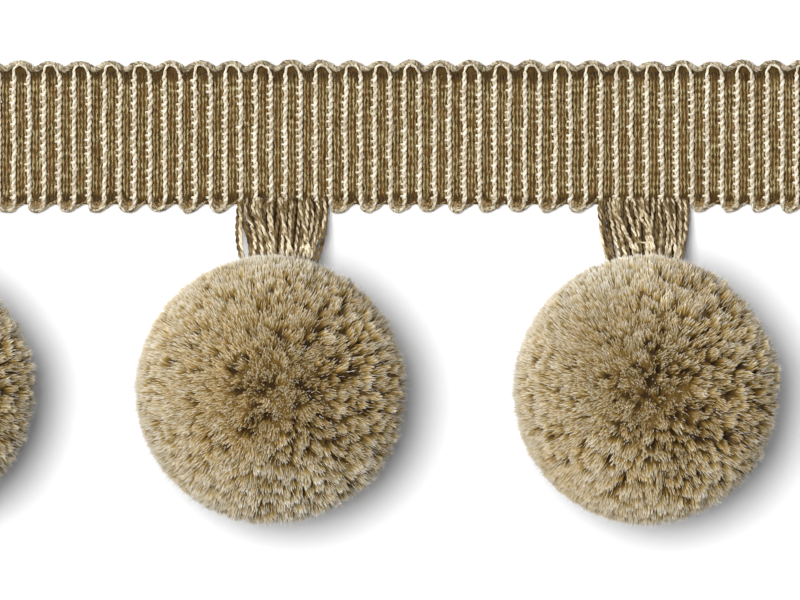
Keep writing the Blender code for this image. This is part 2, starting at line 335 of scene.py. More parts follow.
def thread_material(name, dark, light, rough, along_scale, across_scale, level=0.7, aniso=0.7,
                    twist=None, bump=0.25, inner=1.0, ior=1.5, spread=(0.28, 0.72), stripe=None, ends=None):
    """Lustrous twisted thread. The map's first axis runs along the threads, the second across them."""
    m, nt, shader = new_material(name)
    L = nt.links
    uv = node(nt, "ShaderNodeUVMap", uv_map="OFBake")
    # slow change of tone from thread to thread and along each
    slow = node(nt, "ShaderNodeMapping", vector_type="POINT")
    slow.inputs["Scale"].default_value = (along_scale * 0.12, across_scale, 1.0)
    L.new(uv.outputs[0], slow.inputs[0])
    n1 = node(nt, "ShaderNodeTexNoise", noise_dimensions="2D")
    n1.inputs["Scale"].default_value = 1.0
    n1.inputs["Detail"].default_value = 2.0
    L.new(slow.outputs[0], n1.inputs["Vector"])
    tone = ramp(nt, [(spread[0], dark), (spread[1], light)])
    L.new(n1.outputs[0], tone.inputs[0])
    # fine fibres
    fast = node(nt, "ShaderNodeMapping", vector_type="POINT")
    fast.inputs["Scale"].default_value = (along_scale, across_scale * 9.0, 1.0)
    if twist:
        fast.inputs["Rotation"].default_value = (0.0, 0.0, twist)
    L.new(uv.outputs[0], fast.inputs[0])
    n2 = node(nt, "ShaderNodeTexNoise", noise_dimensions="2D")
    n2.inputs["Scale"].default_value = 1.0
    n2.inputs["Detail"].default_value = 3.0
    L.new(fast.outputs[0], n2.inputs["Vector"])
    fibre = ramp(nt, [(0.25, (0.72, 0.70, 0.66)), (0.75, (1.22, 1.22, 1.22))])
    L.new(n2.outputs[0], fibre.inputs[0])
    mix = node(nt, "ShaderNodeMix", data_type="RGBA", blend_type="MULTIPLY")
    mix.inputs[0].default_value = 1.0
    L.new(tone.outputs[0], mix.inputs[6])
    L.new(fibre.outputs[0], mix.inputs[7])
    if stripe:
        # columns that run across all the threads
        wide = node(nt, "ShaderNodeMapping", vector_type="POINT")
        wide.inputs["Scale"].default_value = (*stripe, 1.0)
        L.new(uv.outputs[0], wide.inputs[0])
        n3 = node(nt, "ShaderNodeTexNoise", noise_dimensions="2D")
        n3.inputs["Scale"].default_value = 1.0
        n3.inputs["Detail"].default_value = 1.0
        L.new(wide.outputs[0], n3.inputs["Vector"])
        band = ramp(nt, [(0.34, (0.80, 0.64, 0.50)), (0.5, (1.0, 0.96, 0.92)), (0.66, (1.24, 1.34, 1.42))])
        L.new(n3.outputs[0], band.inputs[0])
        both = node(nt, "ShaderNodeMix", data_type="RGBA", blend_type="MULTIPLY")
        both.inputs[0].default_value = 1.0
        L.new(mix.outputs[2], both.inputs[6])
        L.new(band.outputs[0], both.inputs[7])
        mix = both
    if ends:
        sep = node(nt, "ShaderNodeSeparateXYZ")
        L.new(uv.outputs[0], sep.inputs[0])
        shade = ramp(nt, ends)
        L.new(sep.outputs[0], shade.inputs[0])
        both = node(nt, "ShaderNodeMix", data_type="RGBA", blend_type="MULTIPLY")
        both.inputs[0].default_value = 1.0
        L.new(mix.outputs[2], both.inputs[6])
        L.new(shade.outputs[0], both.inputs[7])
        mix = both
    out = mix
    # inner strands, high on the map, darkened as painted shade; the last strip, near black, is painted shade on a core
    if inner < 1:
        sep = node(nt, "ShaderNodeSeparateXYZ")
        L.new(uv.outputs[0], sep.inputs[0])
        shade = ramp(nt, [(0.0, (1.0, 1.0, 1.0)), (0.58, (1.0, 1.0, 1.0)),
                          (0.60, (inner * 1.06, inner * 0.83, inner * 0.50)), (0.955, (inner * 1.06, inner * 0.83, inner * 0.50)),
                          (0.96, (0.060, 0.040, 0.016)), (1.0, (0.060, 0.040, 0.016))])
        L.new(sep.outputs[1], shade.inputs[0])
        out = node(nt, "ShaderNodeMix", data_type="RGBA", blend_type="MULTIPLY")
        out.inputs[0].default_value = 1.0
        L.new(mix.outputs[2], out.inputs[6])
        L.new(shade.outputs[0], out.inputs[7])
    L.new(out.outputs[2], shader.inputs["Base Color"])
    b = node(nt, "ShaderNodeBump")
    b.inputs["Strength"].default_value = bump
    b.inputs["Distance"].default_value = 0.00006
    L.new(n2.outputs[0], b.inputs["Height"])
    L.new(b.outputs[0], shader.inputs["Normal"])
    shader.inputs["Roughness"].default_value = rough
    if inner < 1:
        dull = ramp(nt, [(0.0, (rough,) * 3), (0.58, (rough,) * 3), (0.60, (0.9,) * 3), (1.0, (0.95,) * 3)])
        L.new(sep.outputs[1], dull.inputs[0])
        L.new(dull.outputs[0], shader.inputs["Roughness"])
    shader.inputs["Specular IOR Level"].default_value = level
    shader.inputs["IOR"].default_value = ior
    shader.inputs["Specular Tint"].default_value = (1.0, 0.93, 0.80, 1)
    shader.inputs["Anisotropic"].default_value = aniso
    shader.inputs["Anisotropic Rotation"].default_value = 0.25
    if aniso:
        tangent = node(nt, "ShaderNodeTangent", direction_type="UV_MAP", uv_map="OFBake")
        L.new(tangent.outputs[0], shader.inputs["Tangent"])
    shader.inputs["Sheen Weight"].default_value = 0.08
    shader.inputs["Sheen Roughness"].default_value = 0.4
    return m


YARN = pompom_material()
# the fine weave darkens towards both ends of its threads: painted shade in the hollows by the edge cords
WARP = thread_material("heading_fine_weave", (0.160, 0.108, 0.036), (0.475, 0.38, 0.195), 0.7, 260.0, 150.0,
                       level=0.14, aniso=0.0, ior=1.5, spread=(0.30, 0.74), stripe=(9.0, 110.0),
                       ends=[(0.0, (0.26, 0.19, 0.09)), (0.045, (0.30, 0.23, 0.12)), (0.09, (1.0, 1.0, 1.0)),
                             (0.93, (1.0, 1.0, 1.0)), (0.955, (0.28, 0.21, 0.10)), (1.0, (0.28, 0.21, 0.10))])
# the face cords are pale partly in their own colour and partly as a painted highlight along each rib
CORD = thread_material("heading_face_cord", (0.45, 0.375, 0.255), (0.83, 0.76, 0.62), 0.42, 150.0, 144.0,
                       level=0.8, aniso=0.4, ior=1.6)
# loop thread: inner strands, high on the map, darkened as painted shade
WEFT = thread_material("heading_loop_thread", (0.115, 0.080, 0.034), (0.50, 0.43, 0.30), 0.6, 80.0, 90.0, spread=(0.36, 0.62),
                       level=0.5, aniso=0.4, inner=0.66, ior=1.55)
# the weft ground's dark colour is painted shade, where it shows in hollows and cells
SHADED_CORE = thread_material("heading_weft_core_painted_shade", (0.050, 0.026, 0.006), (0.105, 0.062, 0.018), 0.85, 60.0, 300.0,
                       level=0.1, aniso=0.0)
# hanger thread: the second layer, back layer and core darkened as painted shade; a little darker towards the heading
# end
HANG = thread_material("hanger_twisted_thread", (0.21, 0.142, 0.056), (0.78, 0.68, 0.50), 0.5, 60.0, 85.0,
                       level=0.22, aniso=0.3, inner=0.27, ior=1.5, spread=(0.36, 0.62),
                       ends=[(0.0, (0.80, 0.77, 0.70)), (0.30, (0.78, 0.75, 0.68)), (0.55, (1.0, 0.99, 0.97)), (1.0, (1.0, 1.0, 1.0))])

# ------------------------------------------------------------------ camera, lights, floor
CAM_DIST = 1.2
cam_data = bpy.data.cameras.new("camera")
cam_data.sensor_width = 36.0
cam_data.lens = 36.0 * (CAM_DIST - 0.004) / (800 * PX)
cam_data.clip_start, cam_data.clip_end = 0.01, 10.0
cam = bpy.data.objects.new("camera", cam_data)
cx, cy = px(400, 300)
cam.location = (cx, cy, CAM_DIST)
cam.rotation_euler = (0.0, 0.0, 0.0)
bpy.context.scene.collection.objects.link(cam)
bpy.context.scene.camera = cam


def soft_light(name, azimuth, elevation, distance, size, power, target=(0.0, 0.0, 0.0), size_y=None, colour=(1.0, 1.0, 1.0)):
    """azimuth is in the floor's plane, counted from +X towards +Y."""
    data = bpy.data.lights.new(name, "AREA")
    data.energy = power
    data.color = colour
    data.shape = "RECTANGLE" if size_y else "DISK"
    data.size = size
    if size_y:
        data.size_y = size_y
    ob = bpy.data.objects.new(name, data)
    a, e = math.radians(azimuth), math.radians(elevation)
    d = np.array([math.cos(a) * math.cos(e), math.sin(a) * math.cos(e), math.sin(e)])
    ob.location = tuple(np.array(target) + d * distance)
    from mathutils import Vector
    ob.rotation_euler = Vector(d).to_track_quat("Z", "Y").to_euler()
    ob.visible_camera = False
    bpy.context.scene.collection.objects.link(ob)
    return ob


soft_light("overhead", 159.0, 80.6, 1.5, 0.58, 27.0)
soft_light("side", 162.0, 16.0, 1.2, 0.40, 7.6, colour=(0.92, 0.97, 1.0))

world = bpy.data.worlds.new("studio")
bpy.context.scene.world = world
world.use_nodes = True
wn, wl = world.node_tree.nodes, world.node_tree.links
back = wn["Background"]
where = wn.new("ShaderNodeTexCoord")
split = wn.new("ShaderNodeSeparateXYZ")
wl.new(where.outputs["Generated"], split.inputs[0])
height = wn.new("ShaderNodeValToRGB")
stops = height.color_ramp.elements
stops[0].position, stops[0].color = 0.0, (2.75, 2.9, 3.35, 1)
stops[1].position, stops[1].color = 1.0, (0.10, 0.10, 0.10, 1)
mid = stops.new(0.12)
mid.color = (1.50, 1.59, 1.82, 1)
mid = stops.new(0.22)
mid.color = (0.28, 0.28, 0.28, 1)
mid = stops.new(0.5)
mid.color = (0.12, 0.12, 0.12, 1)
wl.new(split.outputs[2], height.inputs[0])
wl.new(height.outputs[0], back.inputs["Color"])
back.inputs["Strength"].default_value = 1.0
seen = wn.new("ShaderNodeBackground")
seen.inputs["Color"].default_value = (1.0, 1.0, 1.0, 1)
seen.inputs["Strength"].default_value = 1.0
path = wn.new("ShaderNodeLightPath")
pick = wn.new("ShaderNodeMixShader")
wl.new(path.outputs["Is Camera Ray"], pick.inputs[0])
wl.new(back.outputs[0], pick.inputs[1])
wl.new(seen.outputs[0], pick.inputs[2])
wl.new(pick.outputs[0], wn["World Output"].inputs["Surface"])
bpy.context.scene.view_settings.view_transform = "Standard"

floor_mesh = bpy.data.meshes.new("floor")
F = 8.0
floor_mesh.from_pydata([(-F, -F, 0), (F, -F, 0), (F, F, 0), (-F, F, 0)], [], [(0, 1, 2, 3)])
floor = bpy.data.objects.new("floor", floor_mesh)
floor.location = (0, 0, -0.00002)
fm, fnt, fsh = new_material("floor_white")
fsh.inputs["Base Color"].default_value = (0.86, 0.86, 0.865, 1)
fsh.inputs["Roughness"].default_value = 0.9
fsh.inputs["Specular IOR Level"].default_value = 0.1
floor_mesh.materials.append(fm)
bpy.context.scene.collection.objects.link(floor)

# ------------------------------------------------------------------ heading
rng = np.random.default_rng(5)
# ribs stand a little unevenly: RIB_AT[k] is where rib k starts
k = np.arange(RIBS + 1)
drift = (0.09 * np.sin(k * 0.21 + 0.6) + 0.06 * np.sin(k * 0.057 + 2.0)) * MM - 0.13 * MM
drift += rng.normal(0, 0.022 * MM, RIBS + 1)
drift *= np.minimum(1, np.minimum(k, RIBS - k) / 2)
RIB_AT = -LENGTH / 2 + k * RIB + drift

CHAINS = (0.268, 0.50, 0.732)           # the fine weft chains between two cords, in ribs
BEADS = 18


def base_weave():
    """The flat cloth between the cords: upright chains of small stitches, three to a rib."""
    r = np.random.default_rng(101)
    p = 2 * BEADS + 1
    x = np.array([RIB_AT[k_] + 0.22 * MM + 5.5 * PX + f_ * (RIB_AT[k_ + 1] - RIB_AT[k_]) for k_ in range(RIBS) for f_ in CHAINS])
    x = x[x < LENGTH / 2 - 0.2 * MM]
    n = len(x)
    y = np.linspace(px(0, 71.5)[1], px(0, 202.0)[1], p)
    beat = np.where(np.arange(p) % 2 == 0, -1.0, 1.0)
    own = r.uniform(0.3, 1.6, (n, p))
    pitch = y[0] - y[1]
    phase = np.cumsum(r.normal(0, 0.28, n))[:, None]
    Y = y[None] + (np.mod(phase, 2.0) - 1.0) * pitch * 0.9 + r.normal(0, 0.035 * MM, (n, p))
    Y[:, 0], Y[:, -1] = y[0], y[-1]
    X = x[:, None] + r.normal(0, 0.036 * MM, (n, p)) + 0.02 * MM * np.sin(y[None] / MM * 0.9 + x[:, None] * 900)
    high = beat[None] * own
    Z = (0.955 + 0.062 * high) * MM
    Z[:, 0], Z[:, -1] = 0.86 * MM, 0.86 * MM
    centre = np.stack([X, Y, Z], -1)
    t, u, v = frames(centre, np.array([1.0, 0.0, 0.0]))
    v = v * np.sign(v[..., 2:3])
    ru = (0.190 + 0.052 * high + r.normal(0, 0.012, (n, p))) * MM
    rv = (0.175 + 0.035 * high) * MM
    along = np.broadcast_to(np.linspace(0.0, 1.0, p), (n, p))
    b = Strands()
    b.add(centre, u, v, ru, rv, 3, along, np.arange(n) / n, 0.98 / n, phase=np.full((n, p), np.pi / 2), tip=True, root=True)
    return b.make("heading_fine_weave", WARP)


weave = base_weave()


def weft_ground():
    """The body of the band: flat under the fine weave, ribbed below, coloured dark as painted shade where it shows."""
    steps = np.linspace(0, 1, 6)[:-1]
    rib = np.append(np.repeat(np.arange(RIBS), len(steps)), RIBS - 1)
    f = np.append(np.tile(steps, RIBS), 1.0)
    x = RIB_AT[rib] + (RIB_AT[rib + 1] - RIB_AT[rib]) * f
    ys = np.array([px(0, y)[1] for y in (204.8, 202.6, 197.5, *np.linspace(191.0, 84.0, 12), 77.0, 70.5, 67.5)])
    rows, cols = len(ys), len(x)
    j = np.arange(rows)[:, None]
    edge = np.ones(rows)
    edge[[0, 1, -2, -1]] = 0.10, 0.55, 0.55, 0.10
    edge = edge[:, None]
    over = np.where((j + rib[None]) % 2 == 0, 1.0, 0.86)
    round_ = np.sqrt(np.maximum(0, 1 - (2 * f - 1) ** 2))[None]
    low_z = MID_Z - (0.40 * MM + 0.43 * MM * round_ * over) * edge
    top_z = np.broadcast_to(MID_Z + (0.10 + 0.02 * round_) * MM * edge - 0.06 * MM * (edge < 0.9), (rows, cols))
    # its edges wave with the loops
    near_low = np.interp(ys, [ys[0], ys[2]], [1.0, 0.0])[:, None]
    near_top = np.interp(ys, [ys[-3], ys[-1]], [0.0, 1.0])[:, None]
    wave_y = (-1.2 * np.cos(np.pi * (rib + f))[None] * near_low + 2.7 * np.cos(np.pi * (rib + f - 0.86))[None] * near_top) * PX
    xy = [np.broadcast_to(x, (rows, cols)), np.broadcast_to(ys[:, None], (rows, cols)) + wave_y]
    top = np.stack([*xy, top_z], -1)
    low = np.stack([*xy, np.maximum(low_z, 0.01 * MM)], -1)
    verts = np.concatenate([top.reshape(-1, 3), low.reshape(-1, 3)])
    idx = np.arange(rows * cols).reshape(rows, cols)
    q = []
    a, b, c, d = idx[:-1, :-1], idx[:-1, 1:], idx[1:, 1:], idx[1:, :-1]
    q.append(np.stack([a, b, c, d], -1).reshape(-1, 4))
    off = rows * cols
    q.append(np.stack([d, c, b, a], -1).reshape(-1, 4) + off)
    q.append(np.stack([idx[0, :-1] + off, idx[0, 1:] + off, idx[0, 1:], idx[0, :-1]], -1))
    q.append(np.stack([idx[-1, 1:] + off, idx[-1, :-1] + off, idx[-1, :-1], idx[-1, 1:]], -1))
    q.append(np.stack([idx[1:, 0] + off, idx[:-1, 0] + off, idx[:-1, 0], idx[1:, 0]], -1))
    q.append(np.stack([idx[:-1, -1] + off, idx[1:, -1] + off, idx[1:, -1], idx[:-1, -1]], -1))
    quads = np.concatenate(q)
    b2 = Strands()
    b2.verts.append(verts)
    b2.count = len(verts)
    b2.quads.append(quads)
    # map: along = y, across = x
    uvv = np.stack([(verts[:, 1] - ys[0]) / (ys[-1] - ys[0]), (verts[:, 0] + LENGTH / 2) / LENGTH * 0.5], -1)
    uvv[off:, 1] += 0.5
    b2.quad_uv.append(uvv[quads])
    return b2.make("heading_weft_ground", SHADED_CORE)


ground = weft_ground()


def evenly(points, count):
    """A smooth curve through the points, its own points evenly spaced."""
    c = catmull(points, 300)
    at = np.concatenate([[0], np.cumsum(np.linalg.norm(np.diff(c, axis=0), axis=1))])
    want = np.linspace(0, at[-1], count)
    return np.stack([np.interp(want, at, c[:, j]) for j in range(3)], -1), at[-1]


def face_cords():
    """The pale two-ply cord that lies along each rib and turns over into the loops; its paleness is partly its own
    colour and partly a painted highlight.
    """
    r = np.random.default_rng(303)
    P = 104
    centres, lengths = [], []
    for rib0 in range(RIBS):
        x0 = RIB_AT[rib0] + 0.22 * MM
        wave, wave_at = r.uniform(0.02, 0.05), r.uniform(0, 6.28)
        rows = np.linspace(80.5, 194.5, 13) + r.normal(0, 1.0, 13)
        body = [(x0 + 5.5 * PX + (wave * math.sin(y * 0.09 + wave_at) + r.normal(0, 0.022)) * MM, px(0, y)[1],
                 (1.43 + r.normal(0, 0.02)) * MM) for y in rows]
        if rib0 % 2 == 0:
            tail = [(5.5, 199.5, 0.98), (5.5, 197.6, 1.32)]
            head = [(5.4, 76.0, 1.45), (5.5, 70.6, 1.46), (7.0, 66.4, 1.46), (10.6, 64.4, 1.46), (14.4, 65.2, 1.44),
                    (17.4, 68.2, 1.40), (19.4, 72.2, 1.36), (20.3, 76.0, 1.20)]
            sink = 0.5 * r.random() ** 2
            head = [(x, y, z - sink * min(1, max(0, j - 2) / 3)) for j, (x, y, z) in enumerate(head)]
            pts = [(x0 + x * PX, px(0, y)[1], z * MM) for x, y, z in tail] + body[::-1] + \
                  [(x0 + (x + r.normal(0, 0.25)) * PX, px(0, y + r.normal(0, 0.25))[1], z * MM) for x, y, z in head]
        else:
            tail = [(5.5, 74.5, 0.98), (5.5, 77.0, 1.34)]
            head = [(5.3, 199.0, 1.40), (5.2, 203.2, 1.28), (6.3, 207.2, 1.10), (9.2, 210.0, 0.95), (12.8, 210.8, 0.88),
                    (16.4, 209.0, 0.86), (19.0, 205.4, 0.90), (20.3, 201.0, 1.05), (20.5, 198.0, 1.05)]
            if any(lo_ <= rib0 + 0.5 < hi_ for lo_, hi_ in HANGER_AT):
                head = [(5.3, 198.5, 1.30), (5.4, 200.5, 1.05)]
            pts = [(x0 + x * PX, px(0, y)[1], z * MM) for x, y, z in tail] + body + \
                  [(x0 + (x + r.normal(0, 0.25)) * PX, px(0, y + r.normal(0, 0.25))[1], z * MM) for x, y, z in head]
        c, long_ = evenly(pts, P)
        c[:, 0] = np.minimum(c[:, 0], LENGTH / 2)
        centres.append(c)
        lengths.append(long_)
    c = np.array(centres)
    n = RIBS
    t, u, v = frames(c, np.array([1.0, 0.0, 0.0]))
    dist = np.linspace(0, 1, P)[None] * np.array(lengths)[:, None]
    base = r.uniform(0, 6.28, n)[:, None]
    pitch = r.uniform(1.50, 1.68, n)[:, None] * MM
    turn = base + dist / pitch * 2 * np.pi + 0.4 * np.sin(dist / MM * r.uniform(0.3, 0.6, (n, 1)) + base)
    b = Strands()
    past = np.maximum(c[..., 1] - px(0, 76.0)[1], px(0, 200.0)[1] - c[..., 1]) / PX
    slim = 1 - 0.46 * np.clip(past / 5.0, 0, 1)
    for ply in (0, 1):
        ang = turn + ply * np.pi
        high = np.sin(ang) * np.sign(v[..., 2])
        away = (0.145 + 0.010 * np.sin(ang * 3 + base)) * MM * slim
        cc = c + (np.cos(ang) * away)[..., None] * u + (np.sin(ang) * away)[..., None] * v
        tt, uu, vv = frames(cc, np.array([1.0, 0.0, 0.0]))
        rr = (0.74 + 0.44 * np.clip(high, 0, 1) ** 1.1 + 0.12 * np.clip(past / 3.0, 0, 1)
              + r.normal(0, 0.04, (n, P))) * 0.186 * MM * slim
        along = np.broadcast_to(np.linspace(0.01, 0.99, P), (n, P))
        b.add(cc, uu, vv, rr, rr, 4, along, (np.arange(n) * 2 + ply) / (2 * n), 0.9 / (2 * n), tip=True, root=True,
              phase=np.full((n, P), 0.4))
    # the plies bulge to the left as short rungs, one at each bead, and a few thread ends stand off to the right
    rungs = []
    often = r.uniform(0.62, 1.0, n)
    for ply in (0, 1):
        high = np.sin(turn + ply * np.pi) * np.sign(v[..., 2])
        peak = np.zeros(high.shape, bool)
        peak[:, 1:-1] = (high[:, 1:-1] > high[:, :-2]) & (high[:, 1:-1] >= high[:, 2:]) & (high[:, 1:-1] > 0.6)
        peak &= (past < -3.0) & (r.random(peak.shape) < often[:, None])
        i, j = np.nonzero(peak)
        rungs.append(np.stack([i, j], -1))
    rungs = np.concatenate(rungs)
    rib_of, j_of = rungs[:, 0], rungs[:, 1]
    m = len(rungs)
    hand = np.where(r.random(m) < 0.90, -1.0, 1.0)
    far = np.where(hand < 0, r.uniform(4.6, 5.8, m), r.uniform(3.0, 4.6, m)) * PX
    root = c[rib_of, j_of] + np.stack([-hand * 0.02 * MM, r.normal(0, 0.02, m) * MM, np.full(m, 0.11 * MM)], -1)
    drop = -hand * r.uniform(0.7, 1.2, m) * PX
    mid_ = root + np.stack([hand * far * 0.66, -drop * 0.55, np.full(m, -0.10) * MM], -1)
    tip = root + np.stack([hand * far, -drop, np.full(m, -0.40) * MM], -1)
    b.add_spikes(np.stack([root, mid_], 1), np.stack([np.full(m, 0.16), r.uniform(0.17, 0.20, m)], -1) * MM, tip,
                 (0.34, 0.58, 0.92), rib_of / n, 0.4 / n, r.uniform(0, 6.28, m), sides=4)
    # their map lies the other way round
    b.quad_uv[-1] = b.quad_uv[-1][..., ::-1]
    b.tri_uv[-1] = b.tri_uv[-1][..., ::-1]
    return b.make("heading_face_cords", CORD)


HANGER_AT = [(RIBS_PER_REPEAT // 2 - HANGER_RIBS // 2 + i * RIBS_PER_REPEAT,
              RIBS_PER_REPEAT // 2 + HANGER_RIBS // 2 + i * RIBS_PER_REPEAT) for i in range(REPEATS)]
cords = face_cords()

# Lower edge loops: the strands of one rib's weft cord turn over into the next rib.
# x: photo pixels from the nominal left bound of the first rib; y: outwards from the last warp threads;
# z: millimetres over the middle. The first is the outer strand's way and the second the inner strand's.
LOWER = (
    {"x": (5.3, 8.6), "y": (-3.0, -3.0), "z": (0.30, 0.02)},
    {"x": (5.2, 8.6), "y": (1.5, 0.5), "z": (0.40, 0.06)},
    {"x": (5.4, 8.8), "y": (5.4, 2.6), "z": (0.30, 0.04)},
    {"x": (7.4, 10.0), "y": (9.0, 4.6), "z": (0.16, 0.02)},
    {"x": (11.0, 12.0), "y": (10.9, 5.8), "z": (0.06, 0.00)},
    {"x": (15.0, 14.6), "y": (10.5, 5.4), "z": (0.02, -0.02)},
    {"x": (18.8, 16.8), "y": (7.6, 3.2), "z": (0.02, 0.00)},
    {"x": (20.8, 17.8), "y": (3.6, 0.6), "z": (0.10, 0.02)},
    {"x": (21.2, 18.0), "y": (-2.0, -3.0), "z": (0.16, 0.02)},
)
# a loose strand of the lower loops, slanting away to the next one
STRAY = (
    {"x": (9.0, 18.0), "y": (9.6, 6.0), "z": (-0.20, -0.14)},
    {"x": (13.5, 20.5), "y": (11.2, 6.6), "z": (-0.22, -0.14)},
    {"x": (18.5, 23.5), "y": (10.0, 5.8), "z": (-0.22, -0.12)},
    {"x": (23.0, 26.5), "y": (6.8, 4.2), "z": (-0.14, -0.06)},
    {"x": (27.0, 29.5), "y": (3.8, 2.2), "z": (-0.06, 0.04)},
    {"x": (31.0, 32.5), "y": (1.0, 0.4), "z": (0.02, 0.10)},
    {"x": (33.5, 34.0), "y": (-1.5, -2.0), "z": (0.02, 0.06)},
)


def edge_loops(name, first_rib, side, edge_y, kinds, seed, skip=()):
    """side is 1 for the upper edge and -1 for the lower. kinds: (way, places from outer 0 to inner 1, radius in mm)."""
    r = np.random.default_rng(seed)
    P = 17
    b = Strands()
    ribs = [j for j in range(first_rib, RIBS, 2) if not any(lo <= j + 0.5 < hi for lo, hi in skip)]
    total = sum(len(places) for _, places, _ in kinds)
    row = 0
    for way, places, radius in kinds:
        for q in places:
            centres = []
            for rib0 in ribs:
                x0 = RIB_AT[rib0] + 0.22 * MM
                jx, jy, jz = r.normal(0, 0.45, len(way)), r.normal(0, 0.40, len(way)), r.normal(0, 0.025, len(way))
                qq = q + r.normal(0, 0.06)
                tall = 1 + r.normal(0, 0.05)
                pts = []
                for j, at in enumerate(way):
                    x = at["x"][0] * (1 - qq) + at["x"][1] * qq + jx[j]
                    y = at["y"][0] * (1 - qq) + at["y"][1] * qq + jy[j]
                    z = at["z"][0] * (1 - qq) + at["z"][1] * qq + jz[j]
                    pts.append((x0 + x * PX, edge_y + side * y * (tall if y > 0 else 1) * PX, MID_Z + z * MM))
                c = catmull(pts, P)
                if rib0 + 1 >= RIBS or c[:, 0].max() > LENGTH / 2:
                    stop = int(np.argmax(c[:, 0] > LENGTH / 2)) or P
                    c = catmull(c[:max(stop, 4)], P)
                    c[:, 0] = np.minimum(c[:, 0], LENGTH / 2)
                centres.append(c)
            c = np.array(centres)
            n = len(c)
            t, u, v = frames(c, np.array([0.0, 0.0, 1.0]))
            rr = np.broadcast_to(r.uniform(0.88, 1.12, n)[:, None] * radius * MM, (n, P))
            c[..., 2] = np.maximum(c[..., 2], rr + 0.02 * MM)
            along = np.broadcast_to(np.linspace(0.01, 0.99, P), (n, P))
            # outer strands lie low on the map and inner ones high, where the material is darker: painted shade on the
            # inner strands
            base = 0.55 * (row + 0.5) / total if q < 0.6 else 0.62 + 0.30 * (row + 0.5) / total
            across = base + np.arange(n) / n * 0.3 / total
            b.add(c, u, v, rr, rr, 6, along, across, 0.28 / total / n, tip=True, root=True)
            row += 1
    return b.make(name, WEFT)


def upper_cord():
    """The tan three-ply cord that waves along the upper edge, with a hump over each pair of ribs."""
    r = np.random.default_rng(7)
    humps = RIBS // 2
    steps = 36
    wave = [(-4.4, 6.3), (0.4, 8.6), (5.0, 11.5), (10.6, 12.6), (16.2, 11.6), (21.0, 8.8)]
    pts = []
    for k_ in range(humps):
        x0 = RIB_AT[2 * k_] + 0.22 * MM
        lift = 1 + r.normal(0, 0.035)
        for x, y in wave:
            pts.append((x0 + (x + r.normal(0, 0.35)) * PX, px(0, 75.0 - y * lift + r.normal(0, 0.25))[1],
                        (1.0 + 0.05 * (y > 9) + r.normal(0, 0.02)) * MM))
    x0 = RIB_AT[RIBS - 1] + (RIB_AT[RIBS - 1] - RIB_AT[RIBS - 2])
    pts.append((x0 - 1.5 * PX, px(0, 68.2)[1], 1.0 * MM))
    c = catmull(pts, 9000)
    c = c[(c[:, 0] > -LENGTH / 2) & (c[:, 0] < LENGTH / 2 - 0.02 * MM)]
    at = np.concatenate([[0], np.cumsum(np.linalg.norm(np.diff(c, axis=0), axis=1))])
    total = humps * steps + 1
    dist = np.linspace(0, at[-1], total)
    c = np.stack([np.interp(dist, at, c[:, j]) for j in range(3)], -1)[None]
    t, u, v = frames(c, np.array([0.0, 0.0, 1.0]))
    cuts = np.arange((total - 1) // steps)[:, None] * steps + np.arange(steps + 1)
    n = len(cuts)
    slow = 0.5 * np.sin(dist / MM * 0.83) + 0.4 * np.sin(dist / MM * 0.31 + 1.0)
    b = Strands()
    for ply in range(3):
        ang = (dist / (1.05 * MM) * 2 * np.pi + slow + ply * 2 * np.pi / 3)[None]
        away = 0.205 * MM * (1 + 0.08 * np.sin(dist / MM * 1.7 + ply))[None]
        cc = c + (np.cos(ang) * away)[..., None] * u + (np.sin(ang) * away)[..., None] * v
        tt, uu, vv = frames(cc, np.array([0.0, 0.0, 1.0]))
        rr = 0.142 * MM * (1 + 0.16 * np.cos(ang) + r.normal(0, 0.06, (1, total)))
        b.add(cc[0][cuts], uu[0][cuts], vv[0][cuts], rr[0][cuts], rr[0][cuts], 5,
              np.broadcast_to(np.linspace(0.01, 0.99, steps + 1), (n, steps + 1)),
              0.56 * (ply * n + np.arange(n)) / (3 * n), 0.5 / (3 * n))
    # close the two cut ends
    for end, rows in ((0, cuts[:1, :2]), (1, cuts[-1:, -2:])):
        for ply in range(3):
            ang = (dist / (1.05 * MM) * 2 * np.pi + slow + ply * 2 * np.pi / 3)[None]
            cc = c + (np.cos(ang) * 0.205 * MM)[..., None] * u + (np.sin(ang) * 0.205 * MM)[..., None] * v
            b.add(cc[0][rows], u[0][rows], v[0][rows], np.full(rows.shape, 0.140 * MM), np.full(rows.shape, 0.140 * MM), 5,
                  np.broadcast_to(np.array([0.4, 0.42]), rows.shape), np.array([0.57]), 0.004, tip=True, root=True)
    return b.make("heading_cord_upper", WEFT)


loops_top = upper_cord()
loops_low = edge_loops("heading_loops_lower", 1, -1, px(0, 200.0)[1],
                       ((LOWER, (0.0, 0.27, 0.54, 0.78, 1.0, 1.28, 1.56), 0.165), (STRAY, (0.0, 0.9), 0.11)), 8, skip=HANGER_AT)

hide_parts("heading_band")
for ob in (weave, cords, ground, loops_top, loops_low):
    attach(ob, "root")


# ------------------------------------------------------------------ hangers
SKEIN = {"at": (0.0, 0.12, 0.26, 0.42, 0.58, 0.74, 0.88, 1.0, 1.15),
         "half": (4.95, 5.18, 5.16, 5.05, 4.86, 4.58, 4.30, 4.05, 3.80),
         "thick": (1.00, 1.15, 1.35, 1.55, 1.80, 2.05, 2.25, 2.40, 2.40),
         "dip": (0.0, 0.06, 0.16, 0.24, 0.26, 0.20, 0.10, 0.0, 0.0)}


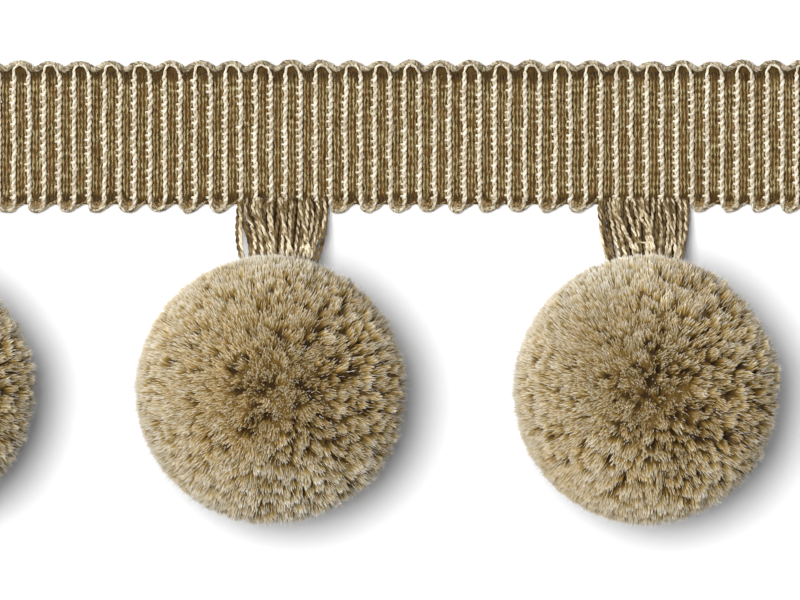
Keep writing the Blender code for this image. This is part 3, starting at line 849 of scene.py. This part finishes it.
def make_hanger(row):
    r = np.random.default_rng(row["seed"])
    start = np.array([hanger_x(row["repeat"]), px(0, 199.0)[1], 0.80 * MM])
    end_c = np.array([row["x"], POMPOM_Y, POMPOM_R - FLAT_SPOT])
    run = end_c - start
    whole = np.linalg.norm(run)
    reach = (whole - POMPOM_R) / whole
    upv = unit(np.array([0.0, -run[2], run[1]]) * -1.0)
    P = 40
    s = np.linspace(0, 1.14, P)
    half = np.interp(s, SKEIN["at"], SKEIN["half"]) * MM
    thick = np.interp(s, SKEIN["at"], SKEIN["thick"]) * MM
    dip = np.interp(s, SKEIN["at"], SKEIN["dip"]) * MM
    gap_at = -0.06 + r.normal(0, 0.03)
    smooth = lambda x: x * x * (3 - 2 * x)
    ways = []
    for i in range(14):                                      # the upper threads
        w0 = -0.94 + i * 0.1446 + r.normal(0, 0.02)
        if i < 7:
            w1 = w0 + 0.10 + 0.20 * math.sin(math.pi * i / 7) + r.normal(0, 0.04)
        else:
            w1 = w0 * 0.94 - 0.01 + r.normal(0, 0.03)
        ways.append((w0, w1, 1.0 - 0.10 * r.random(), 0))
    for i in range(3):                                       # a few that cross the others
        w0 = -0.50 + 0.42 * i + r.normal(0, 0.05)
        ways.append((w0, w0 + 0.40 + r.normal(0, 0.05), 1.2, 0))
    for i in range(21):                                      # a second layer between them
        w0 = -0.96 + i * 0.096 + r.normal(0, 0.015)
        ways.append((w0, w0 * 0.96 + r.normal(0, 0.015), 0.74, 1))
    # threads on the back, coloured dark as painted shade
    for i in range(12):
        w0 = -0.90 + i * 0.164 + r.normal(0, 0.02)
        ways.append((w0, w0 * 0.95 + r.normal(0, 0.03), -1.0, 2))
    centres = []
    for w0, w1, level, inner in ways:
        e = smooth(np.minimum(1, s / 1.02))
        w = w0 + (w1 - w0) * e + (0.035 if inner == 0 else 0.012) * np.sin(s * r.uniform(3, 7) + r.uniform(0, 6.28)) * np.minimum(1, s * 4)
        # a gap at the left where the floor shows, outside of it one thread
        bow = row["bow"] * np.sin(np.pi * np.clip((s - 0.22) / 0.74, 0, 1))
        if w0 > -0.93:
            w = w + bow * 0.20 * np.clip((-w - 0.42) / 0.4, 0, 1)
        else:
            w = w - bow * 0.04
        if level > 0:
            away = w - gap_at
            push = np.clip((0.10 if inner == 0 else 0.055) - np.abs(away), 0, None) * np.clip((s - 0.22) / 0.2, 0, 1) * np.clip((1.05 - s) / 0.2, 0, 1)
            w = w + np.where(away > 0, 1, -1) * push
        w = np.clip(w, -0.985, 0.985)
        rise = (thick / 2 - 0.30 * MM) * np.sqrt(1 - 0.75 * w * w) * level
        if level > 1:
            rise = rise + 0.10 * MM
        c = start[None] + run[None] * (s * reach)[:, None]
        c[:, 0] += w * half
        c += upv[None] * rise[:, None]
        c[:, 2] -= dip
        centres.append(c)
    c = np.array(centres)
    n = len(c)
    t, u, v = frames(c, np.array([1.0, 0.0, 0.0]))
    dist = np.concatenate([np.zeros((n, 1)), np.cumsum(np.linalg.norm(np.diff(c, axis=1), axis=2), 1)], 1)
    b = Strands()
    base = r.uniform(0, 2 * np.pi, n)[:, None]
    fat = r.uniform(0.90, 1.12, n)[:, None]
    inner = np.array([x[3] for x in ways])
    def lay(rows, cc, radius, sides, row_at):
        cc[..., 2] = np.maximum(cc[..., 2], 0.19 * MM)
        tt, uu, vv = frames(cc, np.array([1.0, 0.0, 0.0]))
        along = np.broadcast_to(np.linspace(0.01, 0.99, P), cc.shape[:2])
        b.add(cc, uu, vv, radius, radius, sides, along, row_at, 0.3 / (n * 2), tip=True, root=True)

    top = np.flatnonzero(inner == 0)
    for ply in (0, 1):
        ang = base[top] + ply * np.pi - dist[top] / (2.1 * MM) * 2 * np.pi
        rad = 0.108 * MM * fat[top]
        cc = c[top] + (np.cos(ang) * rad)[..., None] * u[top] + (np.sin(ang) * rad)[..., None] * v[top]
        rr = (1 + 0.22 * np.sin(ang)) * 0.116 * MM * fat[top]
        lay(top, cc, rr, 6, 0.55 * (np.arange(len(top)) * 2 + ply) / (len(top) * 2))
    # the second layer lies high on the map, darkened as painted shade
    second = np.flatnonzero(inner == 1)
    for ply in (0, 1):
        ang = base[second] + ply * np.pi - dist[second] / (2.0 * MM) * 2 * np.pi
        rad = 0.11 * MM * fat[second]
        cc = c[second] + (np.cos(ang) * rad)[..., None] * u[second] + (np.sin(ang) * rad)[..., None] * v[second]
        rr = (1 + 0.20 * np.sin(ang)) * 0.12 * MM * fat[second]
        lay(second, cc, rr, 5, 0.61 + 0.20 * (np.arange(len(second)) * 2 + ply) / (len(second) * 2))
    # the back layer lies higher still on the map, darkened as painted shade
    low = np.flatnonzero(inner == 2)
    knot = 1 + 0.16 * np.sin(dist[low] / (0.9 * MM) * 2 * np.pi + base[low])
    lay(low, c[low], 0.20 * MM * fat[low] * knot, 5, 0.82 + 0.11 * np.arange(len(low)) / len(low))
    # a dark flat core inside the skein: painted shade, which also keeps the floor from showing through
    mid = start[None] + run[None] * (s * reach)[:, None]
    mid[:, 2] = np.maximum(mid[:, 2] - dip, 0.30 * MM)
    mid[:, 0] += half * 0.06
    mid = mid[None]
    tt, uu, vv = frames(mid, np.array([1.0, 0.0, 0.0]))
    b.add(mid, uu, vv, (half * 0.70)[None], np.maximum(thick * 0.16, 0.16 * MM)[None], 12,
          np.linspace(0.01, 0.99, P)[None], np.array([0.972]), 0.02, tip=True, root=True)
    ob = b.make(f"hanger_threads_{row['name']}", HANG)
    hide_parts(f"hanger_skein_{row['name']}")
    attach(ob, "root")
    return ob


# ------------------------------------------------------------------ pompoms
def noise3(p, freq, r):
    """A smooth made-up field on points, from a few waves in random directions."""
    out = np.zeros(len(p))
    for _ in range(7):
        d = unit(r.normal(0, 1, 3)) * freq * r.uniform(0.7, 1.4)
        out += np.sin(p @ d + r.uniform(0, 2 * np.pi))
    return out / 7 ** 0.5


def cube_sphere(m):
    """Directions on six m by m patches, their quads, and each patch's place on the map."""
    g = np.tan(np.linspace(-np.pi / 4, np.pi / 4, m + 1))
    gu, gv = np.meshgrid(g, g, indexing="ij")
    one = np.ones_like(gu)
    faces = [(one, gu, gv), (-one, gv, gu), (gv, one, gu), (gu, -one, gv), (gu, gv, one), (gv, gu, -one)]
    pts, quads, maps = [], [], []
    idx = np.arange((m + 1) ** 2).reshape(m + 1, m + 1)
    q = np.stack([idx[:-1, :-1], idx[1:, :-1], idx[1:, 1:], idx[:-1, 1:]], -1).reshape(-1, 4)
    pu, pv = np.meshgrid(np.linspace(0, 1, m + 1), np.linspace(0, 1, m + 1), indexing="ij")
    for j, f in enumerate(faces):
        d = unit(np.stack(f, -1).reshape(-1, 3))
        k = q + j * (m + 1) ** 2
        a, b, c = d[q[0, 0]], d[q[0, 1]], d[q[0, 2]]
        if np.cross(b - a, c - a) @ a < 0:
            k = k[:, ::-1]
        pts.append(d)
        quads.append(k)
        maps.append(np.stack([(j % 2) * 0.36 + 0.01 + pu.ravel() * 0.34, (j // 2) * 0.333 + 0.004 + pv.ravel() * 0.325], -1))
    pts, quads, maps = np.concatenate(pts), np.concatenate(quads), np.concatenate(maps)
    # weld the patches' shared edges, keeping the map per corner
    key = np.round(pts * 1e6).astype(np.int64)
    _, first, back = np.unique(key, axis=0, return_index=True, return_inverse=True)
    back = back.reshape(-1)
    return pts[first], back[quads], maps[quads]


def near(points, centres, count):
    """The nearest centres of each point: distances and indices."""
    dist, which = [], []
    for lo_ in range(0, len(points), 4000):
        dot = points[lo_:lo_ + 4000] @ centres.T
        k_ = np.argpartition(-dot, count, axis=1)[:, :count]
        dd = np.take_along_axis(dot, k_, 1)
        order = np.argsort(-dd, axis=1)
        k_ = np.take_along_axis(k_, order, 1)
        dd = np.take_along_axis(dd, order, 1)
        dist.append(np.sqrt(np.maximum(0, 2 - 2 * dd)))
        which.append(k_)
    return np.concatenate(dist), np.concatenate(which)


def make_pompom(row, tufts=1600, strands=60000, wisps=6000):
    r = np.random.default_rng(row["seed"])
    centre = np.array([row["x"], POMPOM_Y, POMPOM_R - FLAT_SPOT])
    squash = row["width"] / (2 * POMPOM_R)
    R = POMPOM_R
    hang = unit(np.array([hanger_x(row["repeat"]), px(0, 203)[1], 0.8 * MM]) - centre)
    side = np.array([1.0, 0.0, 0.0])
    side = unit(side - (side @ hang) * hang)
    other = np.cross(hang, side)

    def way_in(d):
        """Below 1 where the skein enters the ball."""
        return ((d @ side) / 0.27) ** 2 + ((d @ other) / 0.085) ** 2 + 99 * (d @ hang < 0)

    def place(d, radius):
        p_ = centre + d * np.broadcast_to(radius, len(d))[:, None]
        p_[..., 0] = row["x"] + (p_[..., 0] - row["x"]) * squash
        return p_

    def spread(count, turn, jitter):
        i = np.arange(count) + 0.5
        polar = np.arccos(1 - 2 * i / count)
        az = np.pi * (1 + 5**0.5) * i + turn
        p_ = np.stack([np.sin(polar) * np.cos(az), np.sin(polar) * np.sin(az), np.cos(polar)], -1)
        return unit(p_ + r.normal(0, jitter, p_.shape))

    seed = np.random.default_rng(row["seed"] + 5)
    waves = [(unit(seed.normal(0, 1, 3)) * f_, seed.uniform(0, 6.28), unit(seed.normal(0, 1, 3))) for f_ in
             (16, 16, 21, 21, 27, 27, 34, 34)]

    def warp(d):
        out = np.zeros_like(d)
        for w_, ph_, dir_ in waves:
            out += np.sin(d @ w_ + ph_)[:, None] * dir_
        return unit(d + out * 0.0085)

    # the yarns, each one a tuft of strands
    tuft = spread(tufts, 0.0, 0.022)
    tall = (r.normal(0, 0.085, tufts) + 0.075 * noise3(tuft, 8.0, r)) * MM
    # taller tufts get a paler, greyer tone: painted light on raised tufts, over a random tone
    tone = 0.5 + 0.10 * noise3(tuft, 5.0, r) + 1.0 * tall / MM + r.normal(0, 0.12, tufts)
    grey = 0.5 + 0.16 * noise3(tuft, 3.0, r) + 1.2 * tall / MM + r.normal(0, 0.10, tufts)
    join = r.random(tufts)
    bend = r.normal(0, 0.024, (tufts, 3))
    # small pits down into the painted shade below, fewer on the close-packed side
    pits = unit(r.normal(0, 1, (290, 3)))
    pits = pits[r.random(len(pits)) < 0.30 + 0.80 * np.clip(0.45 + 0.75 * pits[:, 0], 0, 1)]
    pit_r = r.uniform(0.35, 0.54, len(pits))

    def in_tufts(d):
        f, k_ = near(warp(d), tuft, 4)
        f = f * R / MM
        loose = np.clip(0.45 + 0.75 * d[:, 0] + 0.25 * noise3(d, 3.0, np.random.default_rng(row["seed"] + 9)), 0.1, 1.1)
        away = np.maximum(f[:, 2] - f[:, 0], 0)                 # nought where three tufts meet
        hole = (join[k_[:, 0]] + join[k_[:, 1]] + join[k_[:, 2]]) > 1.80 - 0.50 * loose
        return f[:, 0], f[:, 1] - f[:, 0], away, k_[:, 0], loose, hole

    pack = Strands()
    # --- the yarn body below the ends, coloured darker the deeper it lies as painted shade, with dark holes where three tufts part
    d, quads, _ = cube_sphere(38)
    f, gap, away, k1, loose, hole = in_tufts(d)
    pit_d, pit_k = near(d, pits, 2)
    pit = np.exp(-(pit_d[:, 0] * R / MM / (pit_r[pit_k[:, 0]] + 0.22)) ** 2)
    deep = 1.10 + 0.40 * loose * np.exp(-gap / 0.25) + 1.5 * np.maximum(hole * np.exp(-(away / 0.40) ** 2), pit)
    pack.verts.append(place(d, R - deep * MM + tall[k1] * 0.5))
    pack.normals.append(d)
    pack.count = len(d)
    pack.quads.append(quads)
    # deeper places take a darker place on the map: painted shade
    v_ = np.clip(0.47 - (deep - 1.10) * 0.34, 0.05, 0.55)
    u_ = 0.26 + 0.2 * (np.arange(len(quads))[:, None] % 2) * np.ones(4)
    pack.quad_uv.append(np.stack([np.broadcast_to(np.array([0.30, 0.42, 0.42, 0.30]), quads.shape),
                                  v_[quads] + np.array([0.0, 0.0, 0.01, 0.01])], -1))

    # --- the yarns' cut ends
    hd = spread(strands, 1.0, 0.0055)
    hd = hd[way_in(hd) > 1]
    f, gap, away, k1, loose, hole = in_tufts(hd)
    pit_d, pit_k = near(warp(hd), pits, 2)
    pit = pit_d[:, 0] * R / MM < pit_r[pit_k[:, 0]]
    keep = ~pit & ~(hole & (away < 0.46 + 0.10 * loose)) & (r.random(len(hd)) > 0.62 * loose * np.exp(-gap / 0.12))
    # strands round a pit or hole, to be darkened lower down as painted shade
    shaded_brink = (pit_d[:, 0] * R / MM < pit_r[pit_k[:, 0]] + 0.30) | (hole & (away < 0.68 + 0.10 * loose))
    hd, f, k1, gap, loose, shaded_brink = hd[keep], f[keep], k1[keep], gap[keep], loose[keep], shaded_brink[keep]
    n = len(hd)
    off = hd - tuft[k1]
    off -= (off * hd).sum(-1, keepdims=True) * hd
    stray = r.normal(0, 1, (n, 3))
    stray -= (stray * hd).sum(-1, keepdims=True) * hd
    tip_r = (R + tall[k1] * (0.5 + 1.1 * loose) - (0.12 + 0.42 * loose) * MM * (f / 0.66) ** 3
             - np.minimum(r.exponential(0.15, n), 0.7) * (0.50 + 0.62 * loose) * MM + 0.15 * MM)
    tip_d = unit(hd - off * (0.05 + 0.10 * loose)[:, None] + stray * 0.009 + bend[k1] * (0.35 + 0.55 * loose)[:, None])
    root_r = tip_r - 1.9 * MM
    root_d = unit(hd + stray * 0.003)
    bins = 12
    # strands far from their tuft's middle take a darker tone: painted shade between tufts
    t_ = np.clip(0.47 + (tone[k1] - 0.5 + r.normal(0, 0.05, n)) * (0.50 + 0.55 * loose) - 0.24 * (f / 0.66) ** 2 * (0.35 + loose) + 0.08, 0, 0.999)
    g_ = np.clip(grey[k1] + r.normal(0, 0.05, n), 0, 0.999)
    t_ = (np.floor(g_ * 4) + np.floor(t_ * bins) / bins + 0.1 / bins) / 4
    lift = unit(hd * 0.8 + off * R / MM * (0.4 + 0.7 * loose)[:, None] + np.array([0.0, 0.0, 0.4]))
    # strands round a pit or hole are darker lower down: painted shade in the pit
    for these, low in ((~shaded_brink, 0.36), (shaded_brink, 0.04)):       # those round a pit are dark lower down
        m = int(these.sum())
        pack.add_spikes(place(root_d[these], root_r[these])[:, None], r.uniform(0.23, 0.32, (m, 1)) * MM,
                        place(tip_d[these], tip_r[these]), (low, 0.80), t_[these], 0.8 / bins / 4, r.uniform(0, 6.28, m),
                        lift=lift[these], own=0.66)

    # --- single fibres that stand out of the pile, pale and grey, partly their own colour and partly painted rim light
    hd = unit(r.normal(0, 1, (wisps, 3)))
    hd = hd[way_in(hd) > 1]
    n = len(hd)
    stray = r.normal(0, 1, (n, 3))
    stray -= (stray * hd).sum(-1, keepdims=True) * hd
    tip_r = R + (0.05 + np.minimum(r.exponential(0.22, n), 0.75)) * MM
    t_ = (3 + np.floor(np.clip(0.70 + r.normal(0, 0.14, n), 0, 0.999) * bins) / bins + 0.1 / bins) / 4
    pack.add_spikes(place(unit(hd + stray * 0.004), R - r.uniform(0.3, 0.7, n) * MM)[:, None], r.uniform(0.032, 0.048, (n, 1)) * MM,
                    place(unit(hd + stray * 0.012), tip_r), (0.70, 0.79), t_, 0.8 / bins / 4, r.uniform(0, 6.28, n))
    up = unit(hd * 0.8 + np.array([0.0, 0.0, 0.5]))
    pack.normals.append(np.repeat(up, 3, axis=0))
    pack.normals.append(up)

    def clamp(verts):
        z = verts[:, 2]
        low = 0.03 * MM + 0.10 * MM * np.abs(np.sin(verts[:, 0] * 9000) * np.cos(verts[:, 1] * 8000))
        return np.maximum(z, low)

    ob = pack.make(f"pompom_pile_{row['name']}", YARN, clamp)
    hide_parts(f"pompom_{row['name']}")
    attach(ob, "root")
    return ob


for row in POMPOMS:
    make_hanger(row)
    make_pompom(row)
